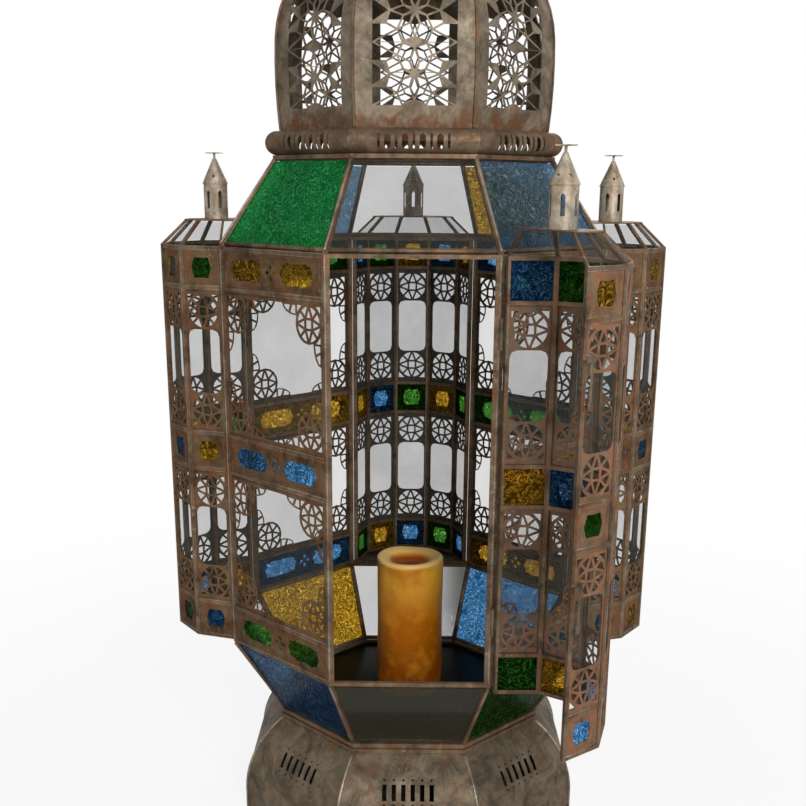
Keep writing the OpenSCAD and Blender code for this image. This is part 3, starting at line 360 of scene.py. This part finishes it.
def wax():
    """Amber wax: pale round the rim, honey below it, darker towards the foot,
    with a soft brown cloud; the hollow is deeper orange than the wall, and burnt
    in its middle."""
    m, tree, shader = base_material("wax")
    at = object_place(tree)
    xyz = split_xyz(tree, at)
    foot, mid, top = (0.19, 0.034, 0.0003, 1), (0.47, 0.137, 0.001, 1), (0.82, 0.43, 0.05, 1)
    brown, honey, lip = (0.42, 0.10, 0.0015, 1), (0.85, 0.40, 0.03, 1), (0.80, 0.52, 0.17, 1)
    hollow, soot = (0.30, 0.062, 0.003, 1), (0.05, 0.012, 0.002, 1)
    low, half = CANDLE_FOOT + 0.02, CANDLE_FOOT + 0.12
    body = mix(tree, ramp(tree, xyz["Z"], low, half), foot, mid)
    body = mix(tree, ramp(tree, xyz["Z"], half, CANDLE_TOP - 0.012), body, top)
    cloud = ramp(tree, noise(tree, at, 13, rough=0.5, warp=0.4), 0.42, 0.68, True)
    body = mix(tree, calc(tree, "MULTIPLY", cloud, 0.75), body, brown)
    streak = ramp(tree, noise(tree, at, 34, detail=5, rough=0.6), 0.5, 0.72)
    body = mix(tree, calc(tree, "MULTIPLY", streak, 0.35), body, honey)
    rim = ramp(tree, xyz["Z"], CANDLE_TOP - 0.011, CANDLE_TOP - 0.004, True)
    body = mix(tree, rim, body, lip)
    out = calc(tree, "SQRT", calc(tree, "ADD", calc(tree, "MULTIPLY", xyz["X"], xyz["X"]),
                                  calc(tree, "MULTIPLY", xyz["Y"], xyz["Y"])))
    inside = calc(tree, "MULTIPLY", ramp(tree, out, CANDLE_R * 0.66, CANDLE_R * 0.52, True),
                  ramp(tree, xyz["Z"], CANDLE_TOP - 0.03, CANDLE_TOP - 0.028))
    body = mix(tree, inside, body, hollow)
    burnt = calc(tree, "MULTIPLY", inside, ramp(tree, out, CANDLE_R * 0.45, CANDLE_R * 0.08, True))
    body = mix(tree, calc(tree, "MULTIPLY", burnt, 0.8), body, soot)
    tree.links.new(body, shader.inputs["Base Color"])
    shader.inputs["Roughness"].default_value = 0.42
    shader.inputs["Specular IOR Level"].default_value = 0.2
    shader.inputs["Subsurface Weight"].default_value = 0.25
    shader.inputs["Subsurface Radius"].default_value = (0.02, 0.008, 0.002)
    shader.inputs["Subsurface Scale"].default_value = 0.5
    bump(tree, shader, noise(tree, at, 90, detail=5, rough=0.6), 0.3, 0.0008)
    return m


def plain(name, colour, roughness, scale, spread=0.45, gloss=0.08):
    """A single tone with a fine mottle and matching bump."""
    m, tree, shader = base_material(name)
    at = object_place(tree)
    n = noise(tree, at, scale, rough=0.6)
    dark = tuple(c * (1 - spread) for c in colour)
    tree.links.new(mix(tree, n, (*dark, 1), (*colour, 1)), shader.inputs["Base Color"])
    shader.inputs["Roughness"].default_value = roughness
    shader.inputs["Specular IOR Level"].default_value = gloss
    bump(tree, shader, n, 0.4, 0.0004)
    return m


SCREEN = metal("pierced_sheet", (0.165, 0.114, 0.062), (0.05, 0.034, 0.02),
               (0.175, 0.074, 0.036), (0.36, 0.28, 0.19),
               amount=0.46, roughness=0.5, metallic=0.35)
STRIP = metal("frame_strip", (0.19, 0.14, 0.088), (0.056, 0.042, 0.028),
              (0.185, 0.082, 0.042), (0.48, 0.40, 0.30),
              amount=0.42, roughness=0.46, metallic=0.4)
SHEET = metal("dark_sheet", (0.19, 0.152, 0.106), (0.07, 0.056, 0.04),
              (0.15, 0.074, 0.038), (0.36, 0.31, 0.24),
              amount=0.34, roughness=0.44, metallic=0.2, dent=0.001)
MINARET = metal("minaret_sheet", (0.54, 0.475, 0.375), (0.20, 0.168, 0.125),
                (0.24, 0.14, 0.08), (0.62, 0.56, 0.45),
                amount=0.40, roughness=0.42, metallic=0.3, dent=0.001)
DOME = metal("dome_sheet", (0.24, 0.196, 0.142), (0.09, 0.072, 0.052),
             (0.14, 0.062, 0.03), (0.44, 0.39, 0.31),
             amount=0.3, roughness=0.42, metallic=0.2, dent=0.001,
             stain=(DOME_FOOT + 0.002, DOME_FOOT + 0.03))
RING = metal("ring_sheet", (0.19, 0.136, 0.088), (0.075, 0.055, 0.038),
             (0.15, 0.068, 0.034), (0.38, 0.32, 0.24),
             amount=0.38, roughness=0.42, metallic=0.25, dent=0.001)
# Pale solder: its lightness is partly real solder and partly painted highlight lines along posts,
# rails and seams
SOLDER_HIGHLIGHT = metal("solder_seam_highlight", (0.32, 0.275, 0.21), (0.11, 0.09, 0.065),
               (0.22, 0.12, 0.07), (0.68, 0.62, 0.52),
               amount=0.32, roughness=0.36, metallic=0.5)
DOOR_SHEET = metal("door_sheet", (0.20, 0.142, 0.092), (0.085, 0.058, 0.036),
                   (0.27, 0.125, 0.07), (0.42, 0.34, 0.26),
                   amount=0.52, roughness=0.5, metallic=0.4)
HARDWARE = metal("hardware", (0.19, 0.15, 0.10), (0.078, 0.062, 0.044),
                 (0.17, 0.09, 0.045), (0.42, 0.36, 0.28),
                 amount=0.33, roughness=0.42, metallic=0.4)
PLATE = plain("floor_plate_dark", (0.006, 0.0055, 0.0035), 0.3, scale=40, spread=0.5, gloss=0.02)
CLEAR = clear_glass("clear_glass", 0.16, (0.07, 0.075, 0.065))
CLEAR_DOOR = clear_glass("clear_glass_door", 0.11, (0.07, 0.075, 0.065))
CLEAR_DEEP = clear_glass("clear_glass_rear", 0.345, (0.10, 0.105, 0.095))
CLEAR_SKIRT = clear_glass("clear_glass_skirt", 0.25, (0.038, 0.037, 0.024), front=0.37,
                          right=0.42)
# Each pane's second colour is its thin glass on the curls and also its painted glints
BLUE = coloured_glass("blue_glass", (0.016, 0.11, 0.28), (0.22, 0.50, 0.82), fleck=0.62)
BLUE_ROOF = coloured_glass("blue_roof_glass", (0.08, 0.23, 0.43), (0.42, 0.60, 0.72),
                           scale=55, fleck=0.42, through=0.8, trellis=0.018)
GREEN = coloured_glass("green_glass", (0.012, 0.085, 0.003), (0.15, 0.52, 0.09))
GREEN_ROOF = coloured_glass("green_roof_glass", (0.008, 0.26, 0.06), (0.07, 0.50, 0.14),
                            scale=75, fleck=0.55, through=0.6)
AMBER = coloured_glass("amber_glass", (0.26, 0.13, 0.001), (0.95, 0.62, 0.09), through=0.82)
WAX = wax()
WICK = plain("burnt_wick", (0.05, 0.042, 0.036), 0.9, scale=900)


# ---- Surfaces ----
def surface(name, grids, material, body):
    """One mesh from grids of points: quads join the points of neighbouring rows
    and columns, the last column joins the first, and points in one place are
    welded, which closes poles and ends."""
    verts, faces, start = [], [], 0
    for grid in grids:
        rows, cols = grid.shape[:2]
        index = start + np.arange(rows * cols).reshape(rows, cols)
        index = np.concatenate([index, index[:, :1]], axis=1)
        quads = np.stack([index[:-1, :-1], index[:-1, 1:], index[1:, 1:], index[1:, :-1]], axis=-1)
        verts.append(grid.reshape(-1, 3))
        faces.append(quads.reshape(-1, 4))
        start += rows * cols
    mesh = bpy.data.meshes.new(name)
    mesh.from_pydata(np.concatenate(verts).tolist(), [], np.concatenate(faces).tolist())
    bm = bmesh.new()
    bm.from_mesh(mesh)
    bmesh.ops.remove_doubles(bm, verts=bm.verts, dist=1e-6)
    bmesh.ops.recalc_face_normals(bm, faces=bm.faces)
    for face in bm.faces:
        face.smooth = True
    bm.to_mesh(mesh)
    bm.free()
    ob = bpy.data.objects.new(name, mesh)
    bpy.context.collection.objects.link(ob)
    mesh.materials.append(material)
    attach(ob, body)
    return ob


def bead(path, normal, radius, closed=False, sides=6, flat=1.0):
    """A round bead along path: at each point a ring of the given radius in the
    plane of the surface's normal and of the side direction across the path;
    flat draws the ring out sideways. Open beads end in a point."""
    p = np.asarray(path, float)
    step = np.roll(p, -1, 0) - np.roll(p, 1, 0) if closed else np.gradient(p, axis=0)
    step /= np.linalg.norm(step, axis=1, keepdims=True)
    n = np.broadcast_to(np.asarray(normal, float), p.shape)
    n = n - (n * step).sum(1, keepdims=True) * step
    n /= np.linalg.norm(n, axis=1, keepdims=True)
    across = np.cross(step, n)
    a = np.linspace(0, 2 * np.pi, sides, endpoint=False)
    ring = radius * (np.cos(a)[None, :, None] * n[:, None] +
                     flat * np.sin(a)[None, :, None] * across[:, None])
    grid = p[:, None] + ring
    if closed:
        grid = np.concatenate([grid, grid[:1]])
    else:
        ends = [np.repeat(p[i][None, None], sides, axis=1) for i in (0, -1)]
        grid = np.concatenate([ends[0], grid, ends[1]])
    return grid


def turned(points, angle, pivot=(0.0, 0.0)):
    """Points turned about the upright line through pivot."""
    q = np.array(points, float)
    c, s = math.cos(angle), math.sin(angle)
    x, y = q[..., 0] - pivot[0], q[..., 1] - pivot[1]
    q[..., 0], q[..., 1] = pivot[0] + c * x - s * y, pivot[1] + s * x + c * y
    return q


class Face:
    """A flat upright face of the lantern: u runs along it, d out of it, z up."""

    def __init__(self, azimuth, reach, width, facet=None, seat=SEAT, door=False):
        self.azimuth, self.reach, self.width = azimuth, reach, width
        self.facet, self.seat, self.door = facet, seat, door

    def world(self, points):
        """Points turned from the face's own place to the lantern's."""
        q = points
        if self.facet is not None:
            q = turned(q, self.facet * TURN)
            q[..., 1] -= self.seat
        q = turned(q, math.radians(self.azimuth))
        return turned(q, DOOR_OPEN, HINGE) if self.door else q

    def at(self, u, z, d=0.0):
        """The points u along the face, at height z and d out of it."""
        u, z = np.broadcast_arrays(np.asarray(u, float), np.asarray(z, float))
        return self.world(np.stack([u, np.full(u.shape, -(self.reach + d)), z], axis=-1))

    def normal(self):
        """The direction out of the face."""
        tips = self.at(np.zeros(2), np.zeros(2)), self.at(np.zeros(2), np.zeros(2), 1.0)
        return (tips[1] - tips[0])[0]


DIAGONALS = [Face(a, FACE_R, SIDE) for a in (45, 135, 225, 315)]
TURRETS = {"left": -90, "rear": 180, "right": 90}


def turret_faces(azimuth, seat=SEAT, door=False):
    """The five faces of a half-decagon turret."""
    return [Face(azimuth, TURRET_RA + FRAME_T / 2, TURRET_W, k - 2, seat, door) for k in range(5)]


FIXED_TURRETS = [f for a in TURRETS.values() for f in turret_faces(a)]
DOOR_FACES = turret_faces(0, DOOR_SEAT, True)


def field_levels():
    """(foot, top) of the five fields between the rails, from the sill up."""
    z, out = SILL, []
    for h in FIELDS:
        z += RAIL_H
        out.append((z, z + h))
        z += h
    return out


def rect_path(w, h, corner, steps=3):
    """A closed rounded rectangle, counter-clockwise, as (u, z) columns."""
    out = []
    for q, (sx, sy) in enumerate(((1, 1), (-1, 1), (-1, -1), (1, -1))):
        t = np.radians(90 * q + np.linspace(0, 90, steps))
        out.append(np.stack([sx * (w / 2 - corner) + corner * np.cos(t),
                             sy * (h / 2 - corner) + corner * np.sin(t)], axis=1))
    return np.concatenate(out)


def cartouche_path(w, h, lobes, count=48):
    """A lobed cartouche: a superellipse whose edge swells and shrinks lobes times."""
    t = np.linspace(0, 2 * np.pi, count, endpoint=False)
    f = 0.94 + 0.06 * np.cos(lobes * t)
    c, s = np.cos(t), np.sin(t)
    return np.stack([np.sign(c) * np.sqrt(np.abs(c)) * f * w / 2,
                     np.sign(s) * np.sqrt(np.abs(s)) * f * h / 2], axis=1)


def emboss(faces, name, body, cartouches, leg, material):
    """Pressed lines on the sheets: a double frame round each band's field, a ring
    round each cartouche, and a line along each lattice field's top and foot."""
    grids = []
    for face in faces:
        normal, width = face.normal(), face.width - 2 * leg
        for i, (low, high) in enumerate(field_levels()):
            mid = (low + high) / 2
            if i % 2 == 0:
                for inner, radius in FRAME_LINES:
                    loop = rect_path(width - 2 * inner, BAND_H - 2 * inner, FRAME_CORNER)
                    path = face.at(loop[:, 0], mid + loop[:, 1], -RECESS)
                    grids.append(bead(path, normal, radius, closed=True))
                for off, w in cartouches:
                    loop = cartouche_path(w + CARTOUCHE_RIM, CARTOUCHE_H + CARTOUCHE_RIM,
                                          SHORT_LOBES if w == CARTOUCHE_W else LONG_LOBES)
                    path = face.at(off + loop[:, 0], mid + loop[:, 1], -RECESS)
                    grids.append(bead(path, normal, LINE_R, closed=True))
            else:
                end = width / 2 - FIELD_LINE_END
                u = np.linspace(-end, end, 3)
                for z in (low + FIELD_LINE_INSET, high - FIELD_LINE_INSET):
                    grids.append(bead(face.at(u, z, -RECESS), normal, LINE_R))
    return surface(name, grids, material, body)


def rail_edges(faces, name, body):
    """A fine bead of solder along the top and the foot of every rail; its pale colour is partly a
    painted highlight on the rail's edges.
    """
    grids = []
    for face in faces:
        levels = [(SILL, SILL + RAIL_H)] + [(t, t + RAIL_H) for _, t in field_levels()]
        u = np.linspace(-face.width / 2, face.width / 2, 3)
        for low, high in levels:
            for z in (low + EDGE_INSET, high - EDGE_INSET):
                grids.append(bead(face.at(u, z, -EDGE_DEPTH), face.normal(), EDGE_R))
    return surface(name, grids, SOLDER_HIGHLIGHT, body)


def solder_line(low, high, count=40):
    """count points from low to high."""
    t = np.linspace(0, 1, count)[:, None]
    return np.asarray(low) * (1 - t) + np.asarray(high) * t


def corner_out(i):
    """The outward direction of the octagon's corner i."""
    a = HALF + i * math.pi / 4
    return np.array([math.sin(a), -math.cos(a), 0.0])


def corner_point(out, reach, z):
    """The corner that lies that way on an octagon of the given reach, at height z."""
    return out * reach / math.cos(HALF) + np.array([0, 0, z])


def corner_seams():
    """Solder beads on the eight corner posts and on the sloping bars of the roof and the skirt;
    their pale colour is partly a painted highlight down each corner."""
    grids = []
    for i in range(8):
        out = corner_out(i)
        for foot, top, radius in CORNER_SEAMS:
            line = solder_line(corner_point(out, *foot), corner_point(out, *top))
            grids.append(bead(line, out, radius))
    return surface("corner_seams", grids, SOLDER_HIGHLIGHT, "lantern")


def base_seams():
    """The flared base's folded corner seams, along its upright foot and its
    flare, an arc that starts upright and ends at the neck."""
    run = BASE_R - NECK_R
    rise = NECK - BASE_WALL
    bend = (run * run + rise * rise) / 2 / run
    t = np.linspace(0, math.asin(rise / bend), 18)
    r = np.concatenate([[BASE_R, BASE_R], BASE_R - bend + bend * np.cos(t[1:])])
    z = np.concatenate([[0.002, BASE_WALL], BASE_WALL + bend * np.sin(t[1:])])
    grids = []
    for i in range(8):
        out = corner_out(i)
        path = out * (r / math.cos(HALF))[:, None] + np.array([0, 0, 1.0]) * z[:, None]
        grids.append(bead(path, out, BASE_SEAM_R, flat=1.3))
    # Pale solder colour, partly a painted highlight down each corner of the base
    return surface("base_seams", grids, SOLDER_HIGHLIGHT, "lantern")


def inner_cames(name, foot, top):
    """Strips in the angles inside a ring of eight sloping panes: beads from
    corner to corner at foot and at top, each (reach, height), and up the
    corners between the panes."""
    grids = []
    level = (1, 1, 0)
    for i in range(8):
        foot0, foot1 = (corner_point(corner_out(k), *foot) for k in (i, i + 1))
        top0, top1 = (corner_point(corner_out(k), *top) for k in (i, i + 1))
        out = (foot0 + foot1) * level
        grids.append(bead(solder_line(top0, top1, 4), out, CAME_R, sides=8))
        grids.append(bead(solder_line(foot0, foot1, 4), out, CAME_R, sides=8))
        grids.append(bead(solder_line(foot0, top0, 4), foot0 * level, CAME_R * 0.7, flat=1.5,
                          sides=8))
    return surface(name, grids, STRIP, "lantern")


def turret_floors():
    """The sheet that closes each fixed turret's foot: a half decagon, which goes
    from its middle out to its edge, up the edge and back."""
    r = (TURRET_RA - FRAME_T / 2 + TURRET_FLOOR_LAP) / math.cos(TURN / 2)
    a = np.radians(-90 + 36.0 * np.arange(6))
    edge = np.stack([r * np.sin(a), -r * np.cos(a) - SEAT], axis=1)
    middle = np.broadcast_to([0.0, -SEAT - r * 0.4], edge.shape)
    rows = [np.column_stack([xy, np.full(len(edge), z)])
            for xy, z in ((middle, SILL), (edge, SILL), (edge, SILL + TURRET_FLOOR_T),
                          (middle, SILL + TURRET_FLOOR_T))]
    grids = [turned(np.stack(rows), math.radians(az)) for az in TURRETS.values()]
    return surface("turret_floors", grids, SHEET, "lantern")


def turret_seams(azimuth, name, body, seat=SEAT, door=False):
    """Solder beads down the corners of a turret; their pale colour is partly a painted highlight.
    """
    grids = []
    reach = TURRET_RA + FRAME_T / 2 - TURRET_SEAM_DEPTH
    for k in (-1.5, -0.5, 0.5, 1.5):
        face = Face(azimuth, reach / math.cos(TURN / 2), 0.0, k, seat, door)
        path = face.at(np.zeros(30), np.linspace(SILL, EAVE, 30))
        grids.append(bead(path, face.normal(), TURRET_SEAM_R))
    return surface(name, grids, SOLDER_HIGHLIGHT, body)


def melted_candle():
    """The pillar candle: a profile turned round its axis. The wall swells and
    leans a little, the rim rises and sinks in slow waves with the angle, and the
    burnt hollow sinks to a flat pool with a raised ring."""
    around, pool = 96, -0.0168
    a = np.linspace(0, 2 * np.pi, around, endpoint=False)
    h = CANDLE_TOP - CANDLE_FOOT
    rim = -0.0022 + 0.0016 * np.cos(2 * a + 0.6) + 0.0006 * np.cos(5 * a + 2)
    wall = 0.0006 * np.sin(3 * a + 1) - 0.0008
    wall_z = np.concatenate([[0.0008, 0.003], np.linspace(0.012, 0.955, 40) * h])
    rows = [np.zeros((around, 3))]
    for z in wall_z:
        t = z / h
        edge = -0.0016 * math.exp(-z / 0.0015)
        wave = 0.0004 * np.sin(4 * a + 9 * t)
        r = CANDLE_R - 0.0004 + edge + wall * (0.4 + 0.6 * t) + wave
        rows.append(np.stack([r, a, np.full(around, z)], axis=-1))
    # From the rim's outer edge over its crest into the hollow: share of the
    # radius, depth below the crest
    lip = ((0.985, -0.004), (0.96, -0.0012), (0.92, 0.0), (0.86, -0.0005), (0.78, -0.0016),
           (0.70, -0.0032), (0.62, -0.0062), (0.56, -0.0108), (0.50, -0.0143), (0.40, -0.0163),
           (0.24, -0.0170), (0.10, pool))
    for share, drop in lip:
        r = CANDLE_R * share * (1 + 0.025 * (1 - share) * np.cos(3 * a + 0.5))
        rows.append(np.stack([r, a, h + drop + rim * (share - 0.2)], axis=-1))
    rows.append(np.stack([0 * a, a, np.full(around, h + pool)], axis=-1))
    polar = np.stack(rows)
    grid = np.stack([polar[..., 0] * np.cos(polar[..., 1]), polar[..., 0] * np.sin(polar[..., 1]),
                     CANDLE_FOOT + polar[..., 2]], axis=-1)
    ob = surface("melted_candle", [grid], WAX, "lantern")
    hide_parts("candle")


GLASS_OF = {"blue": BLUE, "green": GREEN, "amber": AMBER, "clear": CLEAR}
OWN_FINISH = {"candle": WAX, "candle_wick": WICK, "floor_plate": PLATE,
              "rear_turret_glass": CLEAR_DEEP, "skirt_glass_clear": CLEAR_SKIRT,
              "roof_glass_blue": BLUE_ROOF, "roof_glass_green": GREEN_ROOF}


def finish_of(name):
    """The finish that a node's name asks for."""
    if name in OWN_FINISH:
        return OWN_FINISH[name]
    if "glass" in name:
        return GLASS_OF.get(name.rsplit("_", 1)[-1], CLEAR_DOOR if "door" in name else CLEAR)
    if name.endswith("turret_roof") or name == "door_roof":
        return CLEAR
    if name.endswith("screen"):
        return DOOR_SHEET if name.startswith("door") else SCREEN
    if name == "dome_ring":
        return RING
    if name in ("dome_lattice", "dome_crown"):
        return DOME
    if "minaret" in name:
        return MINARET
    if name in ("base_skirt", "base_plate"):
        return SHEET
    if name.startswith("hinge") or name.endswith("latch"):
        return HARDWARE
    return STRIP


def dress_nodes():
    """Gives each node its finish."""
    for name, ob in nodes.items():
        ob.data.materials.clear()
        ob.data.materials.append(finish_of(name))


# ---- Stage ----
def seen_ray(tree):
    """1 for what the camera, a reflection or a view through glass sees."""
    path = tree.nodes.new("ShaderNodeLightPath").outputs
    return calc(tree, "MAXIMUM", path["Is Camera Ray"],
                calc(tree, "MAXIMUM", path["Is Glossy Ray"], path["Is Transmission Ray"]))


def stage():
    """A pale floor and world; to the camera, to gloss and through glass both
    are white, and near the object the floor keeps its shadow."""
    h = FLOOR_HALF
    mesh = bpy.data.meshes.new("floor")
    mesh.from_pydata([(-h, -h, 0), (h, -h, 0), (h, h, 0), (-h, h, 0)], [], [(0, 1, 2, 3)])
    floor = bpy.data.objects.new("floor", mesh)
    bpy.context.collection.objects.link(floor)
    m, tree, shader = base_material("pale_floor")
    shader.inputs["Base Color"].default_value = (0.80, 0.80, 0.80, 1)
    shader.inputs["Roughness"].default_value = 0.9
    glow = tree.nodes.new("ShaderNodeEmission")
    glow.inputs["Strength"].default_value = 1.0
    blend = tree.nodes.new("ShaderNodeMixShader")
    far = tree.nodes.new("ShaderNodeVectorMath")
    far.operation = "LENGTH"
    tree.links.new(object_place(tree), far.inputs[0])
    rest = ramp(tree, far.outputs["Value"], GLOW_START, GLOW_FULL, True)
    share = calc(tree, "ADD", GLOW_NEAR, calc(tree, "MULTIPLY", rest, 1 - GLOW_NEAR))
    tree.links.new(calc(tree, "MULTIPLY", seen_ray(tree), share), blend.inputs[0])
    tree.links.new(shader.outputs[0], blend.inputs[1])
    tree.links.new(glow.outputs[0], blend.inputs[2])
    tree.links.new(blend.outputs[0], tree.nodes["Material Output"].inputs["Surface"])
    mesh.materials.append(m)

    world = bpy.data.worlds.new("studio")
    bpy.context.scene.world = world
    world.use_nodes = True
    tree = world.node_tree
    back = tree.nodes["Background"]
    back.inputs["Color"].default_value = (1, 1, 1, 1)
    seen = calc(tree, "MULTIPLY", seen_ray(tree), 1 - WORLD_LIGHT)
    tree.links.new(calc(tree, "ADD", WORLD_LIGHT, seen), back.inputs["Strength"])


# ---- Light ----
def lamp(name, place, aim, size, power):
    """A square lamp at place that faces aim."""
    data = bpy.data.lights.new(name, "AREA")
    data.size = size
    data.energy = power
    ob = bpy.data.objects.new(name, data)
    direction = np.array(aim, float) - np.array(place, float)
    direction /= np.linalg.norm(direction)
    side = np.cross(direction, (0, 0, 1.0))
    side /= np.linalg.norm(side)
    up = np.cross(side, direction)
    turn = np.eye(4)
    turn[:3, 0], turn[:3, 1], turn[:3, 2], turn[:3, 3] = side, up, -direction, place
    ob.matrix_world = Matrix(turn.tolist())
    bpy.context.collection.objects.link(ob)


place_camera()
stage()
for entry in LAMPS:
    lamp(*entry)
dress_nodes()
emboss(DIAGONALS, "wall_embossing", "lantern", ((-LONG_OFF, LONG_W), (LONG_OFF, LONG_W)), LEG,
       SCREEN)
emboss(FIXED_TURRETS, "turret_embossing", "lantern", ((0.0, CARTOUCHE_W),), TURRET_LEG, SCREEN)
emboss(DOOR_FACES, "door_embossing", "door", ((0.0, CARTOUCHE_W),), TURRET_LEG, DOOR_SHEET)
rail_edges(DIAGONALS + FIXED_TURRETS, "rail_edges", "lantern")
rail_edges(DOOR_FACES, "door_rail_edges", "door")
corner_seams()
base_seams()
inner_cames("skirt_cames", *SKIRT_CAMES)
inner_cames("roof_cames", *ROOF_CAMES)
turret_floors()
for side, azimuth in TURRETS.items():
    turret_seams(azimuth, side + "_turret_seams", "lantern")
turret_seams(0, "door_seams", "door", DOOR_SEAT, True)
melted_candle()

bpy.context.scene.view_settings.view_transform = "Standard"
